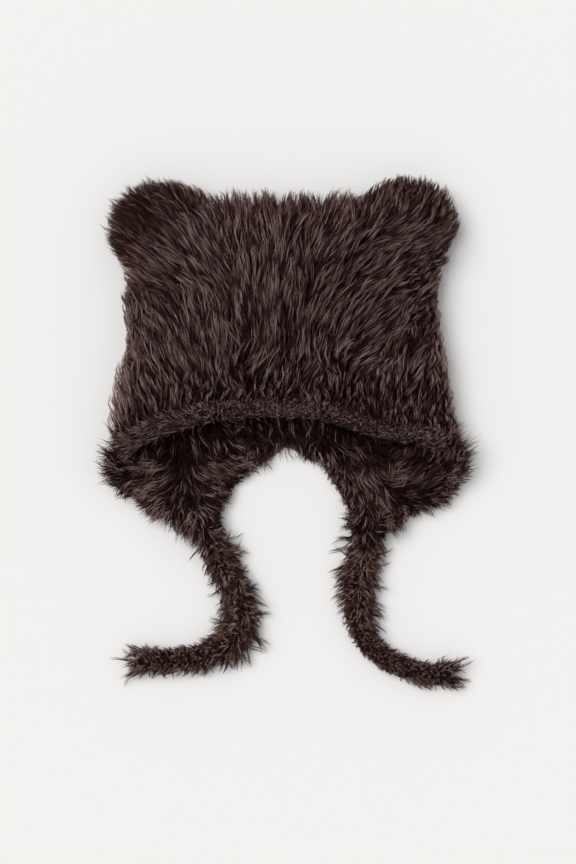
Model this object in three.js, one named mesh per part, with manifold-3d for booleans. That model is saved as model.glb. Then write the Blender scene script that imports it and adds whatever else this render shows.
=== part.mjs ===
// A furry knitted bonnet with two rounded animal ears, earflaps and tie cords, lying on its back panel.
// Millimetres. +X is to the right, +Y towards the ears and +Z up from the surface that it lies on.
// The origin lies on that surface, under the middle of the cap with its ears and earflaps.

import * as THREE from "three";
import { mergeVertices } from "three/addons/utils/BufferGeometryUtils.js";
import Module from "manifold-3d";

const wasm = await Module();
wasm.setup();

const { clamp, degToRad, lerp, smoothstep } = THREE.MathUtils;

// Knitted cloth, and the gap that keeps neighbouring pieces apart
const cloth = 3;
const gap = 0.3;

// Steps that each panel of the cap is divided into
const panelColumns = 18;
const panelRows = 10;

// Cap: a front and a back panel that meet along a seam round the sides and the top
const capTop = 111;
const capCorner = 60;
const seamHeight = 15;
const crownHeight = 31;
const frontRoll = 50;
const backRoll = 16;
const capSides = [
  { y: -78, left: -134, right: 135 },
  { y: -48, left: -130, right: 127 },
  { y: -17, left: -125, right: 121 },
  { y: 14, left: -121, right: 116 },
  { y: 45, left: -119, right: 113 },
  { y: 111, left: -117, right: 111 },
];

// Shallow dents and one swell that the front panel takes as it lies
const frontDents = [
  { x: 74, y: 4, radius: 26, depth: 3 },
  { x: -72, y: 62, radius: 22, depth: 2.5 },
  { x: 66, y: 66, radius: 22, depth: 2.5 },
  { x: -30, y: 20, radius: 40, depth: -2 },
];

// Band: the rolled edge of the face opening, which the front panel runs into
const bandWidth = 12;
const bandThickness = 10;
const bandSag = 4;
const bandReach = 70;
const bandPath = [
  { x: -126, y: -66 },
  { x: -102, y: -53 },
  { x: -77, y: -45 },
  { x: -48, y: -39.5 },
  { x: -12, y: -38 },
  { x: 18, y: -39.5 },
  { x: 45, y: -46 },
  { x: 72, y: -54.5 },
  { x: 101, y: -59 },
  { x: 123, y: -65 },
];

// Neck edge: the back panel ends in an arch between the two earflaps
const flapSeam = -78;
const neckTop = -62;
const neckHalfWidth = 27;

// Ears: padded lobes sewn on at the upper corners of the cap
const earSquareness = 0.84;
const ears = [
  { name: "ear_left", x: -92.5, y: 95.5, z: 14, radiusX: 33, radiusY: 30, radiusZ: 13.5 },
  { name: "ear_right", x: 90, y: 98, z: 14, radiusX: 33.5, radiusY: 30.5, radiusZ: 13.5 },
];

// Earflaps: one row for each section down from the cap, its edges measured outwards from the hat's middle
const flapLift = 11;
const flapSections = {
  left: [
    { y: -78.3, inner: 28, outer: 134, thickness: 3 },
    { y: -88, inner: 36, outer: 136, thickness: 3.5 },
    { y: -97, inner: 43, outer: 132, thickness: 4 },
    { y: -107, inner: 50, outer: 119, thickness: 5 },
    { y: -117, inner: 55, outer: 100, thickness: 6.5 },
    { y: -127, inner: 57, outer: 82, thickness: 9 },
    { y: -138, inner: 54.5, outer: 69.5, thickness: 12 },
  ],
  right: [
    { y: -78.3, inner: 27, outer: 134, thickness: 3 },
    { y: -88, inner: 33, outer: 136, thickness: 3.5 },
    { y: -97, inner: 38, outer: 132, thickness: 4 },
    { y: -107, inner: 45, outer: 121, thickness: 5 },
    { y: -117, inner: 50, outer: 103, thickness: 6.5 },
    { y: -127, inner: 53, outer: 83, thickness: 9 },
    { y: -138, inner: 54.5, outer: 69.5, thickness: 12 },
  ],
};

// Ties: round knitted cords that end free on the surface, each in a sleeve of fur
const tieDiameter = 12;
const tieCentre = 7;
const furSleeve = 2.4;
const ties = [
  {
    name: "tie_left",
    path: [
      { x: -62, y: -138.3 },
      { x: -60.5, y: -147 },
      { x: -53, y: -159 },
      { x: -45, y: -173 },
      { x: -38.5, y: -188 },
      { x: -36, y: -202 },
      { x: -39, y: -216 },
      { x: -49, y: -227 },
      { x: -64, y: -233 },
      { x: -84, y: -236 },
      { x: -102, y: -237 },
      { x: -118, y: -237 },
    ],
  },
  {
    name: "tie_right",
    path: [
      { x: 62, y: -138.3 },
      { x: 60.5, y: -150 },
      { x: 58, y: -164 },
      { x: 55.5, y: -180 },
      { x: 54.5, y: -196 },
      { x: 57, y: -211 },
      { x: 63.5, y: -224.5 },
      { x: 74.5, y: -235.5 },
      { x: 90, y: -243 },
      { x: 109, y: -247 },
      { x: 128.2, y: -248 },
    ],
  },
];

// Fur: overlapping locks, and shorter ones that stand out round the edges
const surfaceLock = { length: 56, width: 35, height: 9, sink: 2, lift: 6 };
const innerLock = { length: 32, width: 22, height: 6, sink: 2, lift: 4 };
const edgeLock = { length: 18, width: 19, height: 6, sink: 2, lift: 2 };
const tieLock = { length: 17, width: 13, height: 5, sink: 1.5, lift: 3 };
const lockShoulder = 0.42;
const lockRoot = 0.35;
const lockOverhang = 12;
const rimRise = 4;
const shorterShares = [1, 0.7, 0.45];
const vertical = new THREE.Vector3(0, 0, 1);

// Tables and blends

// Value of one column at a place between two rows of a table
function between(table, key, column, place) {
  const rising = table[0][key] < table[table.length - 1][key];
  const found = table.findIndex((row) => (rising ? row[key] > place : row[key] < place));
  const next = found < 0 ? table.length - 1 : Math.max(1, found);
  const start = table[next - 1];
  const end = table[next];
  const share = clamp((place - start[key]) / (end[key] - start[key]), 0, 1);
  return lerp(start[column], end[column], share);
}

// Rises from 0 to 1 as a quarter of a circle does
function quarterRound(share) {
  return Math.sqrt(1 - (1 - clamp(share, 0, 1)) ** 2);
}

// Places from -1 to 1 that lie closer together near the ends
function denseNearEdges(place) {
  return lerp(place, Math.sin((place * Math.PI) / 2), 0.6);
}

// A steady, uneven number between -1 and 1 for each index
function uneven(index) {
  return Math.sin(index * 12.9898 + 4.1414);
}

// Solids

function solidOf(geometry) {
  const bare = geometry.clone();
  bare.deleteAttribute("normal");
  bare.deleteAttribute("uv");
  const merged = mergeVertices(bare, 1e-4);
  const vertProperties = new Float32Array(merged.attributes.position.array);
  const triVerts = new Uint32Array(merged.index.array);
  return new wasm.Manifold(new wasm.Mesh({ numProp: 3, vertProperties, triVerts }));
}

function solidFrom(points, faces) {
  const geometry = new THREE.BufferGeometry();
  const numbers = new Float32Array(points.flatMap((point) => point.toArray()));
  geometry.setAttribute("position", new THREE.BufferAttribute(numbers, 3));
  geometry.setIndex(faces);
  return solidOf(geometry);
}

function geometryOf(solid) {
  const mesh = solid.getMesh();
  const geometry = new THREE.BufferGeometry();
  geometry.setAttribute("position", new THREE.BufferAttribute(mesh.vertProperties, 3));
  geometry.setIndex(new THREE.BufferAttribute(mesh.triVerts, 1));
  geometry.computeVertexNormals();
  return geometry;
}

// The largest of the bodies that a cut leaves, without slivers
function mainBody(solid) {
  const tidy = 0.15;
  const bodies = solid.decompose().sort((a, b) => b.volume() - a.volume());
  return bodies[0].simplify(tidy);
}

// A closed wall between an upper and a lower surface, each a function of u from -1 to 1 and v from 0 to 1
function wallBetween(upper, lower, columns, rows) {
  const points = [];
  const faces = [];
  const layer = (columns + 1) * (rows + 1);
  const at = (side, i, j) => side * layer + j * (columns + 1) + i;
  const quad = (a, b, c, d) => faces.push(a, b, c, a, c, d);
  for (const surface of [upper, lower]) {
    for (let j = 0; j <= rows; j += 1) {
      for (let i = 0; i <= columns; i += 1) {
        points.push(surface(denseNearEdges((2 * i) / columns - 1), denseNearEdges(j / rows)));
      }
    }
  }
  for (let j = 0; j < rows; j += 1) {
    for (let i = 0; i < columns; i += 1) {
      quad(at(0, i, j), at(0, i + 1, j), at(0, i + 1, j + 1), at(0, i, j + 1));
      quad(at(1, i, j), at(1, i, j + 1), at(1, i + 1, j + 1), at(1, i + 1, j));
    }
    quad(at(1, columns, j), at(1, columns, j + 1), at(0, columns, j + 1), at(0, columns, j));
    quad(at(1, 0, j + 1), at(1, 0, j), at(0, 0, j), at(0, 0, j + 1));
  }
  for (let i = 0; i < columns; i += 1) {
    quad(at(1, i, 0), at(1, i + 1, 0), at(0, i + 1, 0), at(0, i, 0));
    quad(at(1, i + 1, rows), at(1, i, rows), at(0, i, rows), at(0, i + 1, rows));
  }
  return solidFrom(points, faces);
}

// An oval rod along a curve
function rodAlong(curve, halfHeight, halfWidth, sides, steps) {
  const section = new THREE.Shape();
  for (let side = 0; side < sides; side += 1) {
    const angle = (2 * Math.PI * side) / sides;
    const corner = [halfHeight * Math.cos(angle), halfWidth * Math.sin(angle)];
    if (side === 0) {
      section.moveTo(...corner);
    } else {
      section.lineTo(...corner);
    }
  }
  return new THREE.ExtrudeGeometry(section, { steps, extrudePath: curve });
}

// Cap

// Middle and half width of the cap at a height, a depth inside its outline
function capWidth(y, depth) {
  const left = between(capSides, "y", "left", y);
  const right = between(capSides, "y", "right", y);
  const intoCorner = Math.max(0, y - (capTop - capCorner));
  const arc = Math.sqrt(Math.max(0, (capCorner - depth) ** 2 - intoCorner ** 2));
  return { middle: (left + right) / 2, half: (right - left) / 2 - capCorner + arc };
}

// Distance in from the sides and top of the cap's outline
function edgeDistance(x, y) {
  const left = between(capSides, "y", "left", y);
  const right = between(capSides, "y", "right", y);
  const besides = Math.abs(x - (left + right) / 2) - ((right - left) / 2 - capCorner);
  const above = y - (capTop - capCorner);
  const beyond = Math.hypot(Math.max(besides, 0), Math.max(above, 0));
  return capCorner - beyond - Math.min(Math.max(besides, above), 0);
}

function bandLine(x) {
  return between(bandPath, "x", "y", x);
}

function dentAt(x, y) {
  const hollow = ({ x: dentX, y: dentY, radius, depth }) =>
    depth * Math.exp(-(((x - dentX) ** 2 + (y - dentY) ** 2) / radius ** 2));
  return frontDents.reduce((sum, dent) => sum + hollow(dent), 0);
}

// Height of the front panel at a depth under its outer face
function frontHeight(x, y, depth) {
  const foot = seamHeight + gap / 2;
  const nearBand = 1 - clamp((y - bandLine(x)) / bandReach, 0, 1);
  const rise = crownHeight - foot - depth - bandSag * nearBand ** 2 - dentAt(x, y);
  return foot + rise * quarterRound((edgeDistance(x, y) - depth) / (frontRoll - depth));
}

// Height of the back panel at a depth inside its outer face, which lies flat away from the seam
function backHeight(x, y, depth) {
  const brow = seamHeight - gap / 2;
  return brow - (brow - depth) * quarterRound((edgeDistance(x, y) - depth) / (backRoll - depth));
}

function neckLine(x) {
  const share = Math.min(1, Math.abs(x) / neckHalfWidth);
  return lerp(flapSeam, neckTop, Math.cos((share * Math.PI) / 2) ** 2);
}

// A point of a panel whose lower edge follows a line and whose height is a function of the place
function panelPoint(u, v, depth, lowerLine, heightAt) {
  const foot = capWidth(flapSeam, depth);
  const lowest = lowerLine(foot.middle + foot.half * u);
  const y = lerp(lowest, capTop - depth, v);
  const { middle, half } = capWidth(y, depth);
  const x = middle + half * u;
  return new THREE.Vector3(x, y, heightAt(x, y, depth));
}

function frontPoint(u, v, depth, lower = 0) {
  const lowerLine = (x) => bandLine(x) + bandWidth / 4 - lower;
  return panelPoint(u, v, depth, lowerLine, frontHeight);
}

function backPoint(u, v, depth) {
  return panelPoint(u, v, depth, neckLine, backHeight);
}

// The front panel's wall, grown on every face
function frontWall(grow) {
  const outer = (u, v) => frontPoint(u, v, -grow, grow);
  const inner = (u, v) => frontPoint(u, v, cloth + grow, grow);
  return wallBetween(outer, inner, panelColumns, panelRows);
}

function backWall(grow) {
  const inner = (u, v) => backPoint(u, v, cloth + grow);
  const outer = (u, v) => backPoint(u, v, -grow);
  return wallBetween(inner, outer, panelColumns, panelRows);
}

// Everything inside the cap's outer faces, grown enough that flat facets on its round corner keep the gap
function capEnvelope() {
  const grow = 2.5 * gap;
  const over = (u, v) => frontPoint(u, v, -grow, grow);
  const under = (u, v) => backPoint(u, v, -grow);
  return wallBetween(over, under, panelColumns, panelRows);
}

// Band

function bandCurve() {
  const drop = cloth / 2;
  const points = bandPath.map(({ x, y }) => new THREE.Vector3(x, y, frontHeight(x, y, 0) - drop));
  return new THREE.CatmullRomCurve3(points);
}

function bandSolid() {
  const rod = solidOf(rodAlong(bandCurve(), bandThickness / 2, bandWidth / 2, 8, 24));
  return mainBody(rod.subtract(frontWall(gap)));
}

// Ears

// A point of a rounded lobe: around it and upward, both in radians
function lobePoint(ear, around, upward) {
  const bulged = (value) => Math.sign(value) * Math.abs(value) ** earSquareness;
  const level = bulged(Math.cos(upward));
  return new THREE.Vector3(
    ear.x + ear.radiusX * level * bulged(Math.cos(around)),
    ear.y + ear.radiusY * level * bulged(Math.sin(around)),
    ear.z + ear.radiusZ * bulged(Math.sin(upward)),
  );
}

function earSolid(ear) {
  const sphere = new THREE.SphereGeometry(1, 16, 8).rotateX(Math.PI / 2);
  const place = sphere.attributes.position;
  for (let index = 0; index < place.count; index += 1) {
    const point = new THREE.Vector3().fromBufferAttribute(place, index);
    const upward = Math.asin(clamp(point.z, -1, 1));
    const mapped = lobePoint(ear, Math.atan2(point.y, point.x), upward);
    place.setXYZ(index, mapped.x, mapped.y, mapped.z);
  }
  return mainBody(solidOf(sphere).subtract(capEnvelope()));
}

// Earflaps

// A point of an earflap: across from its inner to its outer edge and down from the seam, both from 0 to 1
function flapPoint(side, across, down, upper) {
  const sections = side < 0 ? flapSections.left : flapSections.right;
  const y = lerp(sections[0].y, sections[sections.length - 1].y, down);
  const inner = between(sections, "y", "inner", y);
  const outer = between(sections, "y", "outer", y);
  const fromEdge = (1 - across) * (outer - inner);
  const curl = clamp(1 - fromEdge / backRoll, 0, 1) ** 2;
  const fading = 1 - smoothstep(down, 0, 0.6);
  const thickness = upper ? between(sections, "y", "thickness", y) : 0;
  const x = side * lerp(inner, outer, across);
  return new THREE.Vector3(x, y, flapLift * curl * fading + thickness);
}

function flapSolid(side) {
  const surface = (upper) => (u, v) => flapPoint(side, (side * u + 1) / 2, 1 - v, upper);
  return wallBetween(surface(true), surface(false), 7, 7);
}

// Ties

function tieCurve(path) {
  return new THREE.CatmullRomCurve3(path.map(({ x, y }) => new THREE.Vector3(x, y, tieCentre)));
}

// A rod along a tie, begun a little inside the earflap and cut square where the earflap ends
function tieRod(tie, radius) {
  const [start] = tie.path;
  const inside = { x: start.x, y: start.y + tieDiameter / 2 };
  const rod = solidOf(rodAlong(tieCurve([inside, ...tie.path]), radius, radius, 8, 14));
  return rod.trimByPlane([0, -1, 0], -start.y);
}

function tieSleeve(tie) {
  const radius = tieDiameter / 2;
  return tieRod(tie, radius + furSleeve).subtract(tieRod(tie, radius + gap));
}

// Fur

// One lock: a wedge that leaves the cloth at its root, swells over it and ends in a free tip
function lockSolid({ root, along, up, shape }, grow) {
  const { length, width, height, sink, lift } = shape;
  const side = new THREE.Vector3().crossVectors(along, up).normalize();
  const place = (forward, sideways, upwards) =>
    root.clone().addScaledVector(along, forward).addScaledVector(side, sideways).addScaledVector(up, upwards);
  const ring = (forward, share, bottom) => [
    place(forward, (share * width) / 2 + grow, 0),
    place(forward, 0, share * height + grow),
    place(forward, (-share * width) / 2 - grow, 0),
    place(forward, 0, -bottom - grow),
  ];
  const tip = place(length + 2 * grow, 0, lift);
  const points = [...ring(-grow, lockRoot, sink), ...ring(lockShoulder * length, 1, sink / 2), tip];
  const faces = [0, 1, 2, 0, 2, 3];
  for (let corner = 0; corner < 4; corner += 1) {
    const next = (corner + 1) % 4;
    faces.push(corner, corner + 4, next + 4, corner, next + 4, next);
    faces.push(corner + 4, 8, next + 4);
  }
  return solidFrom(points, faces);
}

// Direction the fur on the front is combed in: up in the middle and fanned out to both ears
function combing(x, y) {
  const parting = -34;
  const reach = x < parting ? 90 : 150;
  const fan = clamp((x - parting) / reach, -1, 1);
  const upper = smoothstep(y, -70, 70);
  const angle = degToRad(fan * lerp(14, x < parting ? 42 : 58, upper));
  return new THREE.Vector3(Math.sin(angle), Math.cos(angle), 0);
}

// A lock on a surface, laid along a direction that is first turned into the surface
function laidLock(root, up, direction, shape) {
  const along = direction.clone().projectOnPlane(up).normalize();
  return { root, along, up, shape };
}

// The outward normal of a surface given by u and v
function normalOf(surface, u, v) {
  const step = 0.01;
  const acrossU = surface(u + step, v).sub(surface(u - step, v));
  const acrossV = surface(u, v + step).sub(surface(u, v - step));
  return acrossU.cross(acrossV).normalize();
}

function frontSurfaceLocks() {
  const surface = (u, v) => frontPoint(u, v, 0);
  const locks = [];
  const rows = 6;
  for (let row = 0; row < rows; row += 1) {
    const columns = row % 2 ? 6 : 7;
    for (let column = 0; column < columns; column += 1) {
      const jitter = uneven(row * 17 + column);
      const u = 0.9 * ((2 * column) / (columns - 1) - 1) * (row % 2 ? 0.9 : 1) + 0.02 * jitter;
      const v = 0.04 + (0.84 * row) / (rows - 1) + 0.015 * jitter;
      const root = surface(u, v);
      const up = normalOf(surface, u, v);
      const length = Math.min(surfaceLock.length, edgeDistance(root.x, root.y) + lockOverhang);
      locks.push(laidLock(root, up, combing(root.x, root.y), { ...surfaceLock, length }));
    }
  }
  return locks;
}

// Locks that stand out round a panel's sides and top, each rooted a little above or below the seam
function rimLocks(pointAt, height) {
  const places = [];
  const sideLocks = 7;
  const topLocks = 8;
  for (let index = 0; index < sideLocks; index += 1) {
    places.push({ u: -1, v: (index + 0.5) / sideLocks }, { u: 1, v: (index + 0.5) / sideLocks });
  }
  for (let index = 0; index < topLocks; index += 1) {
    places.push({ u: (2 * index + 1) / topLocks - 1, v: 1 });
  }
  return places.map(({ u, v }, index) => {
    const edge = pointAt(u, v, 0);
    const inside = pointAt(u, v, cloth);
    const outwards = edge.clone().sub(inside).setZ(0).normalize();
    const direction = outwards.clone().addScaledVector(new THREE.Vector3(0, 1, 0), 0.45);
    const root = edge.clone().addScaledVector(outwards, -cloth).setZ(height);
    const length = edgeLock.length * (1 + 0.2 * uneven(index));
    return laidLock(root, vertical, direction, { ...edgeLock, length });
  });
}

// Fur on the inner face of the back panel, which hangs over the neck edge
function neckLocks() {
  const locks = [];
  const count = 9;
  for (let index = 0; index < count; index += 1) {
    const x = lerp(-110, 110, index / (count - 1));
    const y = neckLine(x) + 9;
    const root = new THREE.Vector3(x, y, backHeight(x, y, cloth));
    const lean = clamp(-x / 60, -1, 1) * (Math.abs(x) < 50 ? -0.3 : 0.2);
    const direction = new THREE.Vector3(lean, Math.abs(x) < 30 ? -1 : 1, 0);
    const shape = { ...edgeLock, height: 5 };
    locks.push(laidLock(root, vertical, direction, shape));
  }
  return locks;
}

function earLocks(ear) {
  const rings = [
    { upward: 60, count: 3, shape: innerLock, outwards: false },
    { upward: 28, count: 8, shape: { ...innerLock, length: 24 }, outwards: false },
    { upward: 4, count: 12, shape: { ...edgeLock, length: 14 }, outwards: true },
  ];
  const locks = [];
  for (const { upward, count, shape, outwards } of rings) {
    for (let index = 0; index < count; index += 1) {
      const around = (2 * Math.PI * (index + 0.5)) / count;
      const root = lobePoint(ear, around, degToRad(upward));
      const up = new THREE.Vector3(
        (root.x - ear.x) / ear.radiusX ** 2,
        (root.y - ear.y) / ear.radiusY ** 2,
        (root.z - ear.z) / ear.radiusZ ** 2,
      ).normalize();
      if (outwards) {
        const away = up.clone().setZ(0).normalize();
        const seat = root.clone().addScaledVector(away, -cloth);
        locks.push(laidLock(seat, vertical, away, shape));
      } else {
        locks.push(laidLock(root, up, combing(root.x, root.y), shape));
      }
    }
  }
  return locks;
}

function flapLocks(side) {
  const locks = [];
  const rows = [
    { down: 0.16, across: [0.16, 0.5, 0.84] },
    { down: 0.4, across: [0.25, 0.7] },
    { down: 0.64, across: [0.4] },
  ];
  for (const { down, across } of rows) {
    for (const share of across) {
      const root = flapPoint(side, share, down, true);
      const direction = new THREE.Vector3(side * lerp(-0.5, 1.1, share), -1, 0).normalize();
      locks.push(laidLock(root, vertical, direction, innerLock));
    }
  }
  const edgeRows = 5;
  for (let index = 0; index < edgeRows; index += 1) {
    const down = (index + 0.35) / edgeRows;
    for (const [share, outwards] of [[0.06, -1], [0.94, 1]]) {
      const root = flapPoint(side, share, down, true).lerp(flapPoint(side, share, down, false), 0.4);
      const direction = new THREE.Vector3(side * outwards, -0.75, 0).normalize();
      locks.push(laidLock(root, vertical, direction, edgeLock));
    }
  }
  return locks;
}

// Locks that stand out to both sides of a tie
function tieLocks(tie) {
  const locks = [];
  const curve = tieCurve(tie.path);
  const rows = 11;
  for (let index = 0; index < rows; index += 1) {
    const place = (index + 0.5) / rows;
    const centre = curve.getPointAt(place);
    const forward = curve.getTangentAt(place);
    const sideways = vertical.clone().cross(forward);
    for (const side of [-1, 1]) {
      const outwards = sideways.clone().multiplyScalar(side);
      const root = centre.clone().addScaledVector(outwards, tieDiameter / 2 + furSleeve / 2);
      root.z = tieCentre + 2 * uneven(index * 2 + side);
      const direction = outwards.addScaledVector(forward, 0.5);
      const length = tieLock.length * (lerp(0.9, 0.5, place) + 0.15 * uneven(index * 5 + side));
      locks.push(laidLock(root, vertical, direction, { ...tieLock, length }));
    }
  }
  return locks;
}

// Assembly

// Bare pieces, and for each the fur on it and the heights that its fur keeps between
function barePieces() {
  const aboveSeam = seamHeight + gap / 2;
  const belowSeam = seamHeight - gap / 2;
  const pieces = [
    {
      name: "crown_front",
      solid: frontWall(0),
      locks: [...frontSurfaceLocks(), ...rimLocks(frontPoint, seamHeight + rimRise)],
      lowest: aboveSeam,
    },
    {
      name: "crown_back",
      solid: backWall(0),
      locks: [...rimLocks(backPoint, seamHeight - 2 * rimRise), ...neckLocks()],
      highest: belowSeam,
    },
    { name: "front_band", solid: bandSolid(), locks: [] },
    { name: "flap_left", solid: flapSolid(-1), locks: flapLocks(-1) },
    { name: "flap_right", solid: flapSolid(1), locks: flapLocks(1) },
  ];
  for (const ear of ears) {
    pieces.push({ name: ear.name, solid: earSolid(ear), locks: earLocks(ear) });
  }
  for (const tie of ties) {
    const fur = tie.name.replace("tie", "tie_fur");
    pieces.push({ name: tie.name, solid: tieRod(tie, tieDiameter / 2), locks: [] });
    pieces.push({ name: fur, solid: mainBody(tieSleeve(tie)), locks: tieLocks(tie) });
  }
  return pieces;
}

function trimmed(solid, { lowest = 0, highest = Infinity }) {
  const raised = solid.trimByPlane([0, 0, 1], lowest);
  return Number.isFinite(highest) ? raised.trimByPlane([0, 0, -1], -highest) : raised;
}

function boxesMeet(a, b) {
  const [one, other] = [a.boundingBox(), b.boundingBox()];
  return [0, 1, 2].every((axis) => one.min[axis] < other.max[axis] && other.min[axis] < one.max[axis]);
}

function shortened(lock, share) {
  return { ...lock, shape: { ...lock.shape, length: share * lock.shape.length } };
}

// Fuses each piece's locks to it, each as long as it can be without coming near another piece
function addFur(pieces) {
  for (const piece of pieces) {
    const others = pieces.filter((other) => other !== piece);
    const fits = (lock) => {
      const grown = trimmed(lockSolid(lock, gap), piece);
      return others.every(({ solid }) => !boxesMeet(grown, solid) || grown.intersect(solid).isEmpty());
    };
    const longestFit = (lock) => shorterShares.map((share) => shortened(lock, share)).find(fits);
    const kept = piece.locks.map(longestFit).filter(Boolean);
    const fitting = kept.map((lock) => trimmed(lockSolid(lock, 0), piece));
    piece.solid = mainBody(trimmed(wasm.Manifold.union([piece.solid, ...fitting]), piece));
  }
  return pieces;
}

const furColour = "#382b28";
const bandColour = "#2b201e";
const coreColour = "#3a2e29";

function materialFor(name) {
  const colours = { front_band: bandColour, tie_left: coreColour, tie_right: coreColour };
  return new THREE.MeshStandardMaterial({
    color: colours[name] ?? furColour,
    roughness: name in colours ? 0.9 : 0.95,
    metalness: 0,
  });
}

const hat = new THREE.Group();
hat.name = "animal_hat";
for (const { name, solid } of addFur(barePieces())) {
  const mesh = new THREE.Mesh(geometryOf(solid), materialFor(name));
  mesh.name = name;
  hat.add(mesh);
}

export default hat;
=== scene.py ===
# A furry knitted bonnet with two rounded ears, lying flat: cloth, band, ties and strands of fur in clumps.
import math
from collections import namedtuple

import bpy
import numpy as np
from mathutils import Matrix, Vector


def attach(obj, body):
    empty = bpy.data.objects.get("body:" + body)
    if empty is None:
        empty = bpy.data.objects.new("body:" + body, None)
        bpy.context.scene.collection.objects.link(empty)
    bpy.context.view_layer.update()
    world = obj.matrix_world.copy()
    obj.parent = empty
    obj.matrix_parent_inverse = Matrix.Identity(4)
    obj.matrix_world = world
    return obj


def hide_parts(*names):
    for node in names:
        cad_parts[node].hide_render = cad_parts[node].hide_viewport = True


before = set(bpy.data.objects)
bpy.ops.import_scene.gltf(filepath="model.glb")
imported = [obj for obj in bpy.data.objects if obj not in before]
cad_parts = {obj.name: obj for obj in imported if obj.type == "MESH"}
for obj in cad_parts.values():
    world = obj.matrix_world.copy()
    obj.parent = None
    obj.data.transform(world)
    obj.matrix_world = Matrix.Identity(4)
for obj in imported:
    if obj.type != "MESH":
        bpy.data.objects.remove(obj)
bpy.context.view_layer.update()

rng = np.random.default_rng(11)

# Lengths are in millimetres until a mesh is made, as in the part's source
MM = 0.001

# Cap, as in the part's source
CLOTH = 3.0
GAP = 0.3
CAP_TOP = 111.0
CAP_CORNER = 60.0
SEAM_HEIGHT = 15.0
CROWN_HEIGHT = 31.0
FRONT_ROLL = 50.0
BACK_ROLL = 16.0
CAP_SIDES = {
    "y": [-78, -48, -17, 14, 45, 111],
    "left": [-134, -130, -125, -121, -119, -117],
    "right": [135, 127, 121, 116, 113, 111],
}
FRONT_DENTS = [
    {"x": 74, "y": 4, "radius": 26, "depth": 3},
    {"x": -72, "y": 62, "radius": 22, "depth": 2.5},
    {"x": 66, "y": 66, "radius": 22, "depth": 2.5},
    {"x": -30, "y": 20, "radius": 40, "depth": -2},
]

# Band and neck edge
BAND_WIDTH = 12.0
BAND_THICKNESS = 10.0
BAND_SAG = 4.0
BAND_REACH = 70.0
BAND_STEPS = 160
BAND_SIDES = 24
BAND_PATH = {
    "x": [-126, -102, -77, -48, -12, 18, 45, 72, 101, 123],
    "y": [-66, -53, -45, -39.5, -38, -39.5, -46, -54.5, -59, -65],
}
FLAP_SEAM = -78.0
NECK_TOP = -62.0
NECK_HALF_WIDTH = 27.0

# Ears
EAR_SQUARENESS = 0.84
EARS = [
    {"name": "ear_left", "x": -92.5, "y": 95.5, "z": 14, "radius_x": 33, "radius_y": 30, "radius_z": 13.5},
    {"name": "ear_right", "x": 90, "y": 98, "z": 14, "radius_x": 33.5, "radius_y": 30.5, "radius_z": 13.5},
]

# Earflaps, from the ties up to the cap, their edges measured outwards from the hat's middle
FLAP_LIFT = 11.0
FLAP_Y = [-138, -127, -117, -107, -97, -88, -78.3]
FLAP_THICKNESS = [12, 9, 6.5, 5, 4, 3.5, 3]
FLAP_EDGES = {
    "left": {
        "inner": [54.5, 57, 55, 50, 43, 36, 28],
        "outer": [69.5, 82, 100, 119, 132, 136, 134],
    },
    "right": {
        "inner": [54.5, 53, 50, 45, 38, 33, 27],
        "outer": [69.5, 83, 103, 121, 132, 136, 134],
    },
}

# Ties
TIE_DIAMETER = 12.0
TIE_CENTRE = 7.0
TIE_STEPS = 96
TIE_SIDES = 18
TIES = {
    "left": [
        (-62, -138.3), (-60.5, -147), (-53, -159), (-45, -173), (-38.5, -188), (-36, -202),
        (-39, -216), (-49, -227), (-64, -233), (-84, -236), (-102, -237), (-118, -237),
    ],
    "right": [
        (62, -138.3), (60.5, -150), (58, -164), (55.5, -180), (54.5, -196), (57, -211),
        (63.5, -224.5), (74.5, -235.5), (90, -243), (109, -247), (128.2, -248),
    ],
}
TIE_LENGTHS = {"left": 0.169, "right": 0.160}

# Length of the fur on each tie by the share of the way to its end, and how much longer it is on its
# side away from the hat's middle
TIE_FUR_LENGTHS = {
    "left": {
        "share": [0, 0.1, 0.22, 0.42, 0.5, 0.6, 0.68, 0.75, 0.93, 1],
        "length": [16, 17, 15.5, 20, 21, 15, 10, 9, 7, 21],
        "outside": [-0.1, -0.2, 0.1, 0.1, -0.05, 0.05, -0.2, -0.35, -0.2, 0],
    },
    "right": {
        "share": [0, 0.2, 0.36, 0.45, 0.52, 0.7, 0.85, 0.93, 1],
        "length": [19, 18, 15, 11, 6.5, 6, 7, 6, 22],
        "outside": [-0.25, 0, 0.2, 0.35, 0.2, 0.3, -0.4, -0.1, 0.2],
    },
}

# The way the fur is combed at a place: its lean in degrees from +Y towards +X, and its length
Flow = namedtuple("Flow", "x y lean length")

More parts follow.
